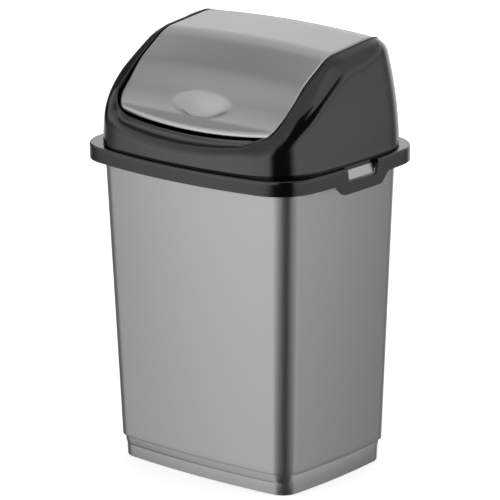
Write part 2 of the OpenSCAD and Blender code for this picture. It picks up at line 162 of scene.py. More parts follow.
# Gaps: under the hood's plate and round its rib, between lug and loop, over
# the window's sill, before and behind the flap, and where the flap rests
SEAT_GAP = 0.4
LUG_GAP = 0.4
SILL_GAP = 0.3
FRONT_GAP, REAR_GAP = 1.2, 0.8
REST_GAP = 0.3
# How far the rim stays inside the skirt
RIM_INSET = 2.6
# Length of a bearing along its pin, and its wall
EAR_T, EAR_WALL = 2.6, 2.0


# ---- outlines

FOOT_BOW = (4.0, 2.6)
MOUTH_BOW = (6.5, 3.6)
COLLAR_BOW = (10.6, 4.7)
OPENING_BOW = (4.6, 0.4)
FLAP_BOW = (5.0, 0.4)


def mix(a, b, t):
    """Straight blend from a to b."""
    return a + (b - a) * t


def smooth(t):
    """Cubic step from 0 to 1."""
    s = np.clip(t, 0.0, 1.0)
    return s * s * (3.0 - 2.0 * s)


def ramp(value, start, run):
    """Cubic step from 0 at start to 1 at start plus run."""
    return smooth((value - start) / run)


def quarter_columns(spans):
    """Segment, place along it and signs of every column of a closed outline.

    A quarter runs over the three spans, from the middle of one long side to
    the middle of the short side; the other quarters mirror it.
    """
    seg = np.append(np.repeat((0, 1, 2), spans), 2)
    k = np.append(np.concatenate([np.arange(n) / n for n in spans]), 1.0)
    last = len(seg) - 1
    right = np.arange(2 * last + 1)
    column = np.append(right, right[-2:0:-1])
    quarter = np.minimum(column, 2 * last - column)
    sign_x = np.where(np.arange(len(column)) < len(right), 1.0, -1.0)
    return seg[quarter], k[quarter], sign_x, np.where(column <= last, 1.0, -1.0)


SEG, ALONG, SIGN_X, SIGN_Y = quarter_columns(SPANS)
COLUMNS = len(SEG)


def outline(a, front, rear, r, bow_long, bow_side):
    """Closed bowed rectangle, x and y of every column.

    Each quarter is a large arc that rises by bow_long over the long side, a
    corner of radius r tangent to both, and a large arc that rises by bow_side
    over the short side. A large arc over half a chord c with rise s has the
    radius (c c + s s) / 2 s. The arguments broadcast against the columns.
    """
    b = np.where(SIGN_Y > 0, front, rear)
    ax, by = a - bow_side, b - bow_long
    rf = (ax * ax + bow_long ** 2) / (2 * bow_long)
    rs = (by * by + bow_side ** 2) / (2 * bow_side)
    fy, sx = rf - b, a - rs
    d = np.hypot(sx, fy)
    ux, uy = sx / d, -fy / d
    t = ((rf - r) ** 2 - (rs - r) ** 2 + d * d) / (2 * d)
    h = np.sqrt(np.maximum((rf - r) ** 2 - t * t, 0.0))
    cx, cy = t * ux - h * uy, fy + t * uy + h * ux
    first = np.arctan2(cy - fy, cx)
    second = np.arctan2(cy, cx - sx)
    half_pi = 0.5 * math.pi
    angle = np.choose(SEG, (-half_pi + ALONG * (first + half_pi),
                            first + ALONG * (second - first),
                            second * (1.0 - ALONG)))
    radius = np.choose(SEG, (rf + 0 * t, r + 0 * t, rs + 0 * t))
    mx = np.choose(SEG, (0 * t, cx, sx + 0 * t))
    my = np.choose(SEG, (fy + 0 * t, cy, 0 * t))
    return ((mx + radius * np.cos(angle)) * SIGN_X,
            (my + radius * np.sin(angle)) * SIGN_Y)


def stack(x, y, z):
    """Rows of points from their three coordinates, broadcast together."""
    return np.stack(np.broadcast_arrays(x, y, z), axis=-1)


def rows_of(values):
    """A column vector, so that one value is used for a whole row."""
    return np.asarray(values, float).reshape(-1, 1)


def bend(corner_points, steps):
    """Curves that round each inner corner of a polyline.

    Points are given with the distance at which the rounding starts; each
    corner becomes a parabola between the two points at that distance.
    """
    pts = [np.asarray(p[:-1], float) for p in corner_points]
    cut = [p[-1] for p in corner_points]
    out = [pts[0]]
    for i in range(1, len(pts) - 1):
        before, here, after = pts[i - 1], pts[i], pts[i + 1]
        if cut[i] <= 0:
            out.append(here)
            continue
        p = here + (before - here) / np.linalg.norm(before - here) * cut[i]
        q = here + (after - here) / np.linalg.norm(after - here) * cut[i]
        k = np.linspace(0, 1, steps + 1)[:, None]
        out.extend((1 - k) ** 2 * p + 2 * k * (1 - k) * here + k ** 2 * q)
    out.append(pts[-1])
    return np.array(out)


# ---- mesh building

def new_mesh(name, points, faces, smoothed=True):
    """A mesh from points in millimetres."""
    mesh = bpy.data.meshes.new(name)
    mesh.from_pydata((points * MM).tolist(), [], faces)
    mesh.validate()
    mesh.polygons.foreach_set("use_smooth", np.full(len(mesh.polygons), smoothed))
    return mesh


def put_object(name, data):
    """Puts a mesh or a camera into the scene as an object."""
    item = bpy.data.objects.new(name, data)
    bpy.context.scene.collection.objects.link(item)
    return item


def add_piece(name, points, faces, body, node, material):
    """Puts a mesh, in millimetres, into the scene in place of a CAD node."""
    piece = put_object(name, new_mesh(name, points, faces))
    piece.data.materials.append(material)
    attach(piece, body)
    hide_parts(node)
    return piece


def ring_faces(rows, columns, closed):
    """Quads between neighbouring rings, and back to the first if closed."""
    last = rows if closed else rows - 1
    k, i = np.meshgrid(np.arange(last), np.arange(columns), indexing="ij")
    k2, i2 = (k + 1) % rows, (i + 1) % columns
    quads = np.stack([k * columns + i, k * columns + i2,
                      k2 * columns + i2, k2 * columns + i], axis=-1)
    return quads.reshape(-1, 4)


def capped_faces(rows, columns):
    """Rings joined in order, with a point closing the first and the last."""
    faces = ring_faces(rows, columns, False).tolist()
    i = np.arange(columns)
    j = (i + 1) % columns
    end, top = rows * columns, (rows - 1) * columns
    faces += stack(j, i, end).tolist()
    faces += stack(top + i, top + j, end + 1).tolist()
    return faces


def joined(parts):
    """One list of points and faces from several."""
    points, faces, start = [], [], 0
    for p, f in parts:
        points.append(p)
        faces += [[start + v for v in face] for face in f]
        start += len(p)
    return np.concatenate(points), faces


def circle(y, z, r, turns):
    """Y and Z of the points of a circle round an axis along X."""
    angle = np.linspace(0, 2 * math.pi, turns, endpoint=False)
    return y + r * np.cos(angle), z + r * np.sin(angle)


def pin(y, z, r, x0, x1, turns=48, edge=0.5):
    """Closed round pin along X, bevelled at x1: circles swept along X."""
    x, radius = rows_of([x0, x1 - edge, x1]), rows_of([r, r, r - edge])
    rings = stack(x, *circle(y, z, radius, turns))
    points = np.concatenate([rings.reshape(-1, 3), [[x0, y, z], [x1, y, z]]])
    return points, capped_faces(3, turns)


# ---- bucket

# Height over which the body curves out into the rim
SHOULDER = 7.0
# Depth and height of the groove under the body's step
GROOVE_DEPTH, GROOVE_H = 1.1, 1.5


def ring_values(tz, half_w, half_d, corner, bows):
    """Half sizes, corner, bows and height of each profile point's ring. The
    half sizes and the corner are less the point's inset t."""
    t, z = tz.T
    return np.stack(np.broadcast_arrays(half_w - t, half_d - t, corner - t, *bows, z), 1)


def bucket_rings(s, hood):
    """Rings of the bucket's cross-section, from under the floor to over it.

    Each ring is an outline whose half sizes, corner and bows are blended
    between the plinth, the body and the rim: half width a(z) grows in a
    straight line from foot to mouth, less the inset t of the profile point.
    """
    shoulder = s.bucket_h - s.wall - SHOULDER
    rise = shoulder - s.plinth_h
    inner_floor = s.floor_lift + s.wall + 0.3

    def body(tz):
        k = (tz[:, 1] - s.plinth_h) / rise
        return ring_values(tz, mix(s.body_w, s.mouth_w, k) / 2,
                           mix(s.body_d, s.mouth_d, k) / 2, mix(s.body_r, s.mouth_r, k),
                           [mix(low, high, k) for low, high in zip(FOOT_BOW, MOUTH_BOW)])

    def plinth(tz):
        wide = (s.mouth_w - s.body_w) / 2 / rise * tz[:, 1]
        deep = (s.mouth_d - s.body_d) / 2 / rise * tz[:, 1]
        return ring_values(tz, s.foot_w / 2 + wide, s.foot_d / 2 + deep,
                           s.body_r - 1, FOOT_BOW)

    def rim(tz):
        return ring_values(tz + [hood.wall + RIM_INSET, 0], hood.collar_w / 2,
                           hood.collar_d / 2, hood.collar_r, COLLAR_BOW)

    def flare(t, z_low, z_high, over):
        """S-curve of the outlines from the body to the rim."""
        k = np.linspace(0, 1, 11)[1:-1, None]
        low = body(np.array([[t, shoulder]]))
        high = rim(np.array([[over, z_high]]))
        ring = mix(low, high, k ** 2 * (1.6 - 0.6 * k))
        ring[:, 5] = mix(z_low, z_high, np.sin(k[:, 0] * math.pi / 2))
        return ring

    top, low_lip = s.bucket_h, s.bucket_h - s.rim_lip
    under = top - s.wall
    step, groove = s.plinth_h, s.plinth_h - GROOVE_H
    walls = np.linspace(step + 4, shoulder, 36)
    parts = [
        plinth(bend([(s.wall + 12, s.floor_lift, 0),
                     (s.wall + 0.6, s.floor_lift, 1.0),
                     (s.wall, 0, 0.4), (0, 0, 0.6), (0, groove - 0.2, 0.3),
                     (GROOVE_DEPTH, groove, 0.2), (GROOVE_DEPTH, step - 0.3, 0)], 4)),
        body(bend([(1.3, step - 0.2, 0), (0.9, step, 0.3), (0, step + 0.1, 0.8),
                   (0, step + 3, 0)], 6)),
        body(np.array([(0, z) for z in walls])),
        flare(0.0, shoulder, under, s.wall),
        rim(bend([(s.wall, under, 0), (s.wall, low_lip, 0.6), (0, low_lip, 0.6),
                  (0, top, 1.2), (4, top, 0)], 4)),
        flare(s.wall, shoulder, top, 5.0)[::-1],
        body(np.array([(s.wall, z) for z in walls[::-2]])),
        body(bend([(s.wall, inner_floor + 12, 0), (s.wall + 0.2, inner_floor, 7),
                   (s.wall + 24, inner_floor, 0)], 8)),
    ]
    half_w, half_d, corner, *bows, z = np.concatenate(parts).T[:, :, None]
    x, y = outline(half_w, half_d, half_d, corner, *bows)
    ends = np.array([[0, 0, s.floor_lift], [0, 0, inner_floor]])
    return stack(x, y, z), ends


def lug_block(s, hood, side):
    """Wedge-shaped catch lug on one side of the rim.

    Its section in X and Z is a straight wedge, swept along Y; near both ends
    the section shrinks in height by a quarter circle, so the corners are round.
    """
    reach = hood.collar_w / 2 - hood.wall
    face, rim_a = reach - LUG_GAP, reach - RIM_INSET
    root = s.mouth_w / 2 - s.wall / 2
    low = s.bucket_h + SEAT_GAP + hood.wall - hood.collar_h + hood.window_rise + SILL_GAP
    top, corner = s.bucket_h - 0.02, 1.6
    u = np.sin(np.linspace(-1, 1, 41) * math.pi / 2) * s.lug_w / 2
    past = np.maximum(np.abs(u) - (s.lug_w / 2 - corner), 0.0)
    trim = (corner - np.sqrt(np.maximum(corner ** 2 - past ** 2, 0.0)))[:, None]
    section = bend([(root, low + 3, 0), (rim_a - 2, low, 0.8), (face, low, 0.35),
                    (face, low + 0.8, 0.4), (rim_a + 0.4, top - 0.4, 0.3),
                    (rim_a, top, 0), (root + 1.5, top, 0)], 4)
    z = np.clip(section[:, 1] + 0 * trim, low + trim, top - trim)
    points = stack(section[:, 0] * side, hood.catch_y + u[:, None], z).reshape(-1, 3)
    end_y = hood.catch_y + np.array([-1, 1]) * s.lug_w / 2
    ends = stack((face + root) / 2 * side, end_y, (low + top) / 2)
    faces = capped_faces(len(u), len(section))
    if side > 0:
        faces = [f[::-1] for f in faces]
    return np.concatenate([points, ends]), faces


class BIN_OT_bucket(bpy.types.Operator):
    """Builds the tapered bucket with its rim and catch lugs"""
    bl_idname = "bin.bucket"
    bl_label = "Bucket"

    def execute(self, context):
        s, hood, _ = sizes()
        rings, ends = bucket_rings(s, hood)
        points = np.concatenate([rings.reshape(-1, 3), ends])
        faces = capped_faces(len(rings), COLUMNS)
        points, faces = joined([(points, faces), lug_block(s, hood, 1),
                                lug_block(s, hood, -1)])
        add_piece("bucket_shell", points, faces, "bucket_body", "bucket",
                  silver_plastic())
        return {"FINISHED"}


# ---- hood

# The rim's side view over the crest, relative to it: corner points in Y and
# Z, and the radius of the arc that rounds each inner corner
PROFILE = ((-68, -60.5, 0), (-50, -37.2, 60), (-28, -20, 80), (-4, -4.6, 30),
           (44, 0.4, 22), (60, -9, 20), (72, -20, 0))
SIDE_LEAN = (0.025, 0.0008)
FRONT_LEAN = (0.05, 0.0)
REAR_LEAN = (0.0, 0.0018)
CREST_FALL = 0.15
CHEEK_FALL = 0.44
LIP_DISH = 5.6
REAR_CROWN = 1.6
CHEEK_BLEND = 15.0
OPENING_R = 10.2
EDGE_LAND = 1.6
PANEL_LEAN = 0.03
# How far the foot lies in from the ledge at the sides, and out at the ends
SIDE_SET, END_SET = 0.6, 0.9
# Reach of the rounded valley between the cheeks and the front lip
VALLEY = 4.0
# Depth of the recess round the foot, of the rib and of the opening's flange
RECESS_DEPTH, RIB_DROP, EDGE_FLANGE = 1.2, 5.0, 6.0
# Inward run of the loop's slanted ends per drop
LOOP_SLANT = 1.05
# Ramps as start and run. Along Y: the panels' lean comes and goes, and the
# cheek's fall, height and rounding change into the crest's. Across the
# opening's edge: the cheek's rounding starts.
PANEL_IN, PANEL_OUT = (-70, 34), (-5, 60)
FALL_RAMP, REAR_RAMP, ROUND_RAMP = (10, 35), (35, 25), (-20, 25)
BESIDE_RAMP = (-12, 8)


def rounded_profile(corners, steps=24):
    """Polyline whose inner corners are arcs of a given radius.

    The arc starts r / tan(half the corner's angle) before the corner.
    """
    out = [np.array(corners[0][:2], float)]
    for i in range(1, len(corners) - 1):
        a, b, c = (np.array(corners[j][:2], float) for j in (i - 1, i, i + 1))
        r = corners[i][2]
        u = (a - b) / np.linalg.norm(a - b)
        v = (c - b) / np.linalg.norm(c - b)
        half = math.acos(float(u @ v)) / 2
        centre = b + (u + v) / np.linalg.norm(u + v) * r / math.sin(half)
        p, q = (b + w * r / math.tan(half) - centre for w in (u, v))
        angle = np.linspace(math.atan2(p[1], p[0]), math.atan2(q[1], q[0]), steps)
        out.extend(centre + r * np.stack([np.cos(angle), np.sin(angle)], 1))
    out.append(np.array(corners[-1][:2], float))
    return np.array(out)


PROFILE_LINE = rounded_profile(PROFILE)


def lean(rates, h):
    """Inward run of a wall at height h over its foot."""
    return rates[0] * h + rates[1] * h * h


def soft_max(a, b, r):
    """The larger of two values, rounded where they are closer than r."""
    t = np.maximum(0.0, r - np.abs(a - b)) / r
    return np.maximum(a, b) + t * t * r / 4


class HoodShape:
    """The hood's surfaces as functions of a column and a height."""

    def __init__(self, bucket, hood, flap):
        self.s, self.flap, self.bucket = hood, flap, bucket
        self.collar_top = bucket.bucket_h + SEAT_GAP + hood.wall
        self.skirt_base = self.collar_top - hood.collar_h
        self.foot_top = self.collar_top + hood.recess_h
        self.crest = self.collar_top + hood.crest_rise
        self.lip = self.collar_top + hood.lip_rise
        self.pivot_y = -flap.pivot_front
        self.pivot_z = self.crest - flap.pivot_drop
        self.opening = self.opening_line(0.0)
        self.opening_z = self.edge_z(*self.opening)
        self.sharp = self.sharp_edge()
        self.room = np.hypot(*(self.opening - self.sharp[:, :2].T))
        self.rounding = self.rounding_radius()

    def side_z(self, y):
        """Height of the side profile at y."""
        return self.crest + np.interp(y, PROFILE_LINE[:, 0], PROFILE_LINE[:, 1])

    def edge_z(self, x, y):
        """Height of the opening's edge: the side profile at the cheeks, a
        dished lip that rises with x squared across the front, and a crown
        that falls with x squared at the rear."""
        across = 2 * np.abs(x) / self.flap.opening_w
        rear = self.side_z(y) + REAR_CROWN * (1 - across ** 2)
        blend = smooth((np.abs(x) - self.flap.opening_w / 2 + CHEEK_BLEND) / CHEEK_BLEND)
        front = mix(self.lip + LIP_DISH * across ** 2, self.side_z(y), blend)
        return np.where(y > 0, rear, front)

    def opening_line(self, t):
        """The opening's outline in plan, widened by t."""
        f = self.flap
        return outline(f.opening_w / 2 + t, f.opening_front + t,
                       f.opening_rear + t, OPENING_R + t, *OPENING_BOW)

    def opening_ring(self, t, drop):
        """The opening's edge, widened by t in plan and lowered by drop."""
        t, drop = rows_of(t), rows_of(drop)
        x, y = self.opening_line(t)
        return stack(x, y, self.opening_z - drop)

    def wall_line(self, z, t=0.0):
        """Plan of the leaning wall at height z, drawn in by t: the half
        sizes shrink by a straight and a square term in the height, and the
        flat panels of the cheeks lean in a little more than the corners."""
        s = self.s
        h = z - self.foot_top
        half_d = s.collar_d / 2 - s.collar_ledge + END_SET - t
        x, y = outline(s.collar_w / 2 - s.collar_ledge - SIDE_SET - lean(SIDE_LEAN, h) - t,
                       half_d - lean(FRONT_LEAN, h), half_d - lean(REAR_LEAN, h),
                       np.where(SIGN_Y > 0, s.hood_front_r, s.hood_r) - t, *COLLAR_BOW)
        panel = ramp(y, *PANEL_IN) * (1 - ramp(y, *PANEL_OUT))
        return x * (1 - 2 * PANEL_LEAN * h * panel / s.collar_w), y

    def top_z(self, x, y):
        """Height of the hood's top outside the opening: the side profile
        falls outwards along the cheeks, the front and rear fall a little."""
        f = self.flap
        beyond = np.abs(x) - f.opening_w / 2
        rate = mix(CHEEK_FALL, CREST_FALL, ramp(y, *FALL_RAMP))
        side = (self.side_z(np.minimum(y, f.opening_rear))
                - rate * np.maximum(0, beyond) + np.minimum(0, beyond))
        inner = np.minimum(np.abs(x), f.opening_w / 2 - CHEEK_BLEND)
        front = (self.edge_z(inner, -f.opening_front + 0 * x)
                 - CREST_FALL * np.maximum(0, -y - f.opening_front))
        rear = (self.edge_z(x, f.opening_rear + 0 * x)
                - CREST_FALL * np.maximum(0, y - f.opening_rear))
        return np.where(y > 0, mix(side, rear, ramp(y, *REAR_RAMP)),
                        soft_max(side, front, VALLEY))

    def rounding_radius(self):
        """Radius of the upper edge, blended from the crest's to the cheek's
        and held back where the opening's edge is near."""
        x, y = self.opening
        along = ramp(np.abs(x) - self.flap.opening_w / 2, *BESIDE_RAMP)
        radius = mix(self.s.crest_round, self.s.cheek_round,
                     along * (1 - ramp(y, *ROUND_RAMP)))
        return np.minimum(radius, self.room - EDGE_LAND)

    def round_end(self, t):
        """Where the rounding ends, inwards from the sharp edge, at depth t."""
        return np.minimum(self.rounding + t, self.room - t - EDGE_LAND / 3)

    def sharp_edge(self):
        """Where wall and top meet, found by repeated substitution."""
        z = np.full(COLUMNS, self.crest - 20)
        for _ in range(24):
            x, y = self.wall_line(z)
            z = mix(z, self.top_z(x, y), 0.5)
        return stack(x, y, z)

    def wall_rows(self, k, t=0.0):
        """Wall rows at shares k of the way up to where the rounding starts."""
        k = rows_of(k)
        z = mix(self.foot_top + 0.2, self.sharp[:, 2] - self.rounding - t, k)
        return stack(*self.wall_line(z, t), z)

    def cheek_rows(self, start, drop=0.0, k=0.0):
        """Rows on the straight line from the sharp edge to the opening, from
        a distance start inwards, a share k of what is left."""
        edge = stack(*self.opening, self.opening_z)
        run = edge - self.sharp
        first = start / np.hypot(run[:, 0], run[:, 1])
        share_of = mix(first, 1.0, rows_of(k))
        return (self.sharp + share_of[..., None] * run) - np.array([0, 0, drop])

    def round_rows(self, k, t=0.0):
        """Rows of the rounded edge: a parabola from the wall to the cheek
        with the sharp edge as its middle control point."""
        k = rows_of(k)[..., None]
        z = self.sharp[:, 2]
        a = self.wall_rows(1, t)
        b = self.sharp + (stack(*self.wall_line(z, t), -t) - stack(*self.wall_line(z), 0))
        c = self.cheek_rows(self.round_end(t), t)
        return (1 - k) ** 2 * a + 2 * k * (1 - k) * b + k ** 2 * c

    def collar_rows(self, tz):
        """Rows of the collar at insets and heights tz."""
        s = self.s
        t, z = tz.T[:, :, None]
        x, y = outline(s.collar_w / 2 - t, s.collar_d / 2 - t,
                       s.collar_d / 2 - t, s.collar_r - t, *COLLAR_BOW)
        return stack(x, y, z)

    def foot_rows(self, tz):
        """Rows round the hood's foot at insets and heights tz."""
        t, z = tz.T[:, :, None]
        return stack(*self.wall_line(self.foot_top, t), z)

    def rib_rows(self, tz):
        """Rows of the rib that locates the hood inside the bucket."""
        b = self.bucket
        t, z = (tz + [b.wall + SEAT_GAP, 0]).T[:, :, None]
        half_d = b.mouth_d / 2 - t
        x, y = outline(b.mouth_w / 2 - t, half_d, half_d, b.mouth_r, *MOUTH_BOW)
        return stack(x, y, z)

    def rings(self):
        """Closed section of the hood, ring by ring, from the skirt's inside
        round the outside, into the opening and back along the inside."""
        w, top = self.s.wall, self.collar_top
        low = self.skirt_base - self.s.loop_drop
        plate, foot = top - w, self.foot_top
        even, edge = np.linspace, 1.3
        collar = bend([(w, low, 0), (0, low, 0), (0, top, edge), (3.4, top, 0)], 8)
        collar = np.insert(collar, 2, [[0, z] for z in even(low, top - edge, 12)[1:-1]], 0)
        recess = bend([(-1.5, top, 0), (RECESS_DEPTH, top, 0.2),
                       (RECESS_DEPTH, foot - 0.2, 0.2), (-0.1, foot - 0.2, 0.2),
                       (0, foot + 0.2, 0)], 5)
        flange = bend([(1.2, 0, 0), (0, 0, 0.9), (0, EDGE_FLANGE, 0),
                       (w, EDGE_FLANGE, 0), (w, w, 0)], 6)
        return np.concatenate([
            self.collar_rows(collar),
            self.foot_rows(recess),
            self.wall_rows(even(0, 1, 30)[1:]),
            self.round_rows(even(0, 1, 15)[1:]),
            self.cheek_rows(self.rounding, 0.0, even(0, 0.9, 12)[1:]),
            self.opening_ring(*flange.T),
            self.cheek_rows(self.round_end(w), w, [0.5, 0.0]),
            self.round_rows(even(1, 0, 7)[1:], w),
            self.wall_rows(even(1, 0.1, 8)[1:], w),
            self.foot_rows(np.array([[w, top]])),
            self.rib_rows(np.array([[w, top], [w, plate - RIB_DROP],
                                    [0, plate - RIB_DROP], [0, plate]])),
            self.collar_rows(np.array([[w, plate]])),
        ])


def prism(side_view, x0, x1):
    """Closed block: a side view in Y and Z, swept straight along X."""
    n = len(side_view)
    y, z = side_view.T
    if np.sum(y * np.roll(z, -1) - z * np.roll(y, -1)) < 0:
        side_view = side_view[::-1]
    points = np.concatenate([stack(x, *side_view.T) for x in (x0, x1)])
    i = list(range(n))
    faces = [i[::-1], [n + v for v in i]]
    faces += [[a, (a + 1) % n, n + (a + 1) % n, n + a] for a in i]
    return points, faces


def cutter(name, side_view, x0, x1):
    """A prism as an object to cut with, shaded flat."""
    return put_object(name, new_mesh(name, *prism(side_view, x0, x1), smoothed=False))


def rounded_loop(corners, steps=8):
    """Closed side view whose corners are parabolas of the given cut."""
    closed = [corners[-1]] + list(corners) + [corners[0]]
    return bend(closed, steps)[1:-1]


def carve(piece, cutters):
    """Cuts the cutters out of a piece, and removes them."""
    for block in cutters:
        cut = piece.modifiers.new("Cut", "BOOLEAN")
        cut.operation = "DIFFERENCE"
        cut.solver = "MANIFOLD"
        cut.object = block
    bpy.context.view_layer.update()
    carved = piece.evaluated_get(bpy.context.evaluated_depsgraph_get())
    mesh = bpy.data.meshes.new_from_object(carved)
    piece.modifiers.clear()
    piece.data = mesh
    for block in cutters:
        bpy.data.objects.remove(block)


def ear(shape, side):
    """Ring round a bearing bore: a rectangle turned about the pivot's axis."""
    r0 = shape.flap.pin_d / 2 + shape.flap.pin_clear
    r1, x0 = shape.flap.pin_d / 2 + EAR_WALL, shape.flap.opening_w / 2 + 0.02
    turns = 48
    x = rows_of([x0, x0 + EAR_T, x0 + EAR_T, x0]) * side
    ring = stack(x, *circle(shape.pivot_y, shape.pivot_z, rows_of([r1, r1, r0, r0]), turns))
    faces = ring_faces(4, turns, True).tolist()
    if side < 0:
        faces = [f[::-1] for f in faces]
    return ring.reshape(-1, 3), faces


def rest_tongue(shape):
    """Small block inside the opening's rear, on which the flap rests."""
    half, reach, w = 12.0, 3.6, shape.s.wall
    flap = FlapShape(shape)
    top = float(flap.skin(np.array(half), np.array(flap.rear))) - EDGE_DEPTH - REST_GAP
    y0, y1 = shape.flap.opening_rear - reach, shape.flap.opening_rear + w / 2
    view = np.array([[y0, top - w], [y1, top - w], [y1, top], [y0, top]])
    return prism(view, -half, half)


def hood_cutters(shape):
    """Cutters for the skirt beside the loops, the windows and the bores."""
    s, flap = shape.s, shape.flap
    base, mid, far = shape.skirt_base, s.catch_y, s.collar_w
    run, drop = s.loop_drop * LOOP_SLANT, s.loop_drop
    low = base - 2 * drop
    under = rounded_loop([
        (-far, low, 0), (-far, base, 0), (mid - s.loop_w / 2, base, 1.8),
        (mid - s.loop_w / 2 + run, base - drop, 2.2),
        (mid + s.loop_w / 2 - run, base - drop, 2.2),
        (mid + s.loop_w / 2, base, 1.8), (far, base, 0), (far, low, 0)])
    sill, half, above = base + s.window_rise, s.window_w / 2, shape.collar_top + 2
    window = rounded_loop([(mid - half + 2, sill, 1.0), (mid - half, above, 0),
                           (mid + half, above, 0), (mid + half - 2, sill, 1.0)])
    inner = s.collar_w / 2 - s.collar_ledge + 0.3
    bore_r, turns = flap.pin_d / 2 + flap.pin_clear, 64
    bore = np.stack(circle(shape.pivot_y, shape.pivot_z, bore_r, turns), 1)
    wall_x = flap.opening_w / 2
    return [cutter("cut_under", under, -far, far),
            cutter("cut_window_right", window, inner, far),
            cutter("cut_window_left", window, -far, -inner),
            cutter("cut_bore_right", bore, wall_x - 2, wall_x + 4),
            cutter("cut_bore_left", bore, -wall_x - 4, -wall_x + 2)]


class BIN_OT_hood(bpy.types.Operator):
    """Builds the hood with its collar, opening, bearings and snap loops"""
    bl_idname = "bin.hood"
    bl_label = "Hood"

    def execute(self, context):
        shape = HoodShape(*sizes())
        rings = shape.rings()
        faces = ring_faces(len(rings), COLUMNS, True).tolist()
        piece = add_piece("hood_shell", rings.reshape(-1, 3), faces, "hood_body",
                          "hood", black_plastic())
        carve(piece, hood_cutters(shape))
        hidden, hidden_faces = joined([ear(shape, 1), ear(shape, -1), rest_tongue(shape)])
        add_to(piece, hidden, hidden_faces)
        piece.data.set_sharp_from_angle(angle=math.radians(40))
        return {"FINISHED"}


def add_to(piece, points, faces):
    """Adds more closed parts, in millimetres, to a finished piece's mesh."""
    extra = new_mesh("extra", points, faces)
    both = bmesh.new()
    both.from_mesh(piece.data)
    both.from_mesh(extra)
    both.to_mesh(piece.data)
    both.free()
    bpy.data.meshes.remove(extra)


# ---- flap

# The skin's depth under the side profile at the front and behind it, with the
# ramp between them, and its crown and its flare, each with its run
FRONT_SINK, REAR_SINK, SINK_RAMP = 4.2, 0.2, (8, 28)
FLAP_CROWN, CROWN_RUN = 2.55, 55
FLARE, FLARE_RUN = 0.4, 6
# Length of the front slope per run in plan, and the scoop's place on it
SLOPE_LENGTH = 1.6
DIMPLE_RISE = 12.7
# The scoop's sharp lip: its reach each way and its share of extra depth. The
# scoop's extra depth towards its lower edge, and the power of its soft rim.
LIP_REACH, LIP_EXTRA = 11.0, 0.3
DIMPLE_TILT, SOFT_RIM = 0.5, 1.5
# The flange's depth away from the pivot, and the ramps to its depth there:
# along Y from the pivot, and across the flap's edge
EDGE_DEPTH = 3.0
PIVOT_RAMP, FLANGE_RAMP = (6, 26), (-8, 6)


class FlapShape:
    """The flap's skin and edges as functions of a place in plan."""

    def __init__(self, hood_shape):
        f = hood_shape.flap
        self.f, self.hood = f, hood_shape
        self.a = f.opening_w / 2 - f.gap
        self.front = f.opening_front - FRONT_GAP
        self.rear = f.opening_rear - REAR_GAP

    def dimple(self, x, y):
        """Depth of the finger scoop: a paraboloid over an ellipse, to a
        power that leaves a soft rim, and deeper towards its lower edge,
        where the power fades to 1 in the middle, for a sharp lip to pull."""
        f = self.f
        half = f.dimple_h / 2 / SLOPE_LENGTH
        v = (y + self.front - DIMPLE_RISE) / half
        d = np.maximum(0.0, 1 - (2 * x / f.dimple_w) ** 2 - v ** 2)
        lip = np.exp(-(x / LIP_REACH) ** 2) * smooth(-v)
        return (f.dimple_depth * SLOPE_LENGTH * mix(d ** SOFT_RIM, d, lip)
                * (1 - DIMPLE_TILT * v) * (1 + LIP_EXTRA * lip))

    def skin(self, x, y):
        """Height of the skin: the hood's side profile, sunk and flared near
        the front, crowned across its width by one minus x squared."""
        from_front = y + self.front
        sink = mix(FRONT_SINK, REAR_SINK, ramp(from_front, *SINK_RAMP))
        crown = FLAP_CROWN * smooth(from_front / CROWN_RUN) * (1 - (x / self.a) ** 2)
        flare = FLARE * np.maximum(0, FLARE_RUN - from_front)
        return self.hood.side_z(y) - sink + flare + crown - self.dimple(x, y)

    def line(self, t):
        """Plan outline drawn in by t."""
        return outline(self.a - t, self.front - t, self.rear - t,
                       OPENING_R - 1 - t, *FLAP_BOW)

    def rows(self, shrink, t, drop):
        """Outline drawn in by t, shrunk about the middle, lowered by drop."""
        shrink, t, drop = rows_of(shrink), rows_of(t), rows_of(drop)
        x, y = self.line(t)
        x, y = x * shrink, y * shrink
        return stack(x, y, self.skin(x, y) - drop)

    def flange_rows(self, t, lift):
        """Lower edge of the flange, deep at the pivot, drawn in by t."""
        x, y = self.line(rows_of(t))
        near = 1 - ramp(np.abs(y - self.hood.pivot_y), *PIVOT_RAMP)
        side = ramp(np.abs(x) - self.a, *FLANGE_RAMP)
        depth = mix(EDGE_DEPTH, self.f.flange, near * side)
        return stack(x, y, self.skin(x, y) - depth + rows_of(lift))

    def rings(self):
        """Section of the flap from the middle of its underside, round the
        flange, to the middle of its skin."""
        w = self.f.wall
        shrink = np.concatenate([np.linspace(0.06, 0.66, 16),
                                 np.linspace(0.68, 0.96, 22)])
        edge = bend([(1.6, 0, 0), (0, 0, 1.2), (0, 2, 0)], 6)[::-1]
        return np.concatenate([
            self.rows(shrink, 0, w),
            self.rows(1, w, w),
            self.flange_rows([w, w - 0.3, 0.35, 0.0], [0.3, 0.0, 0.0, 0.4]),
            self.rows(1, *edge.T),
            self.rows(shrink[::-1], 0, 0),
        ])


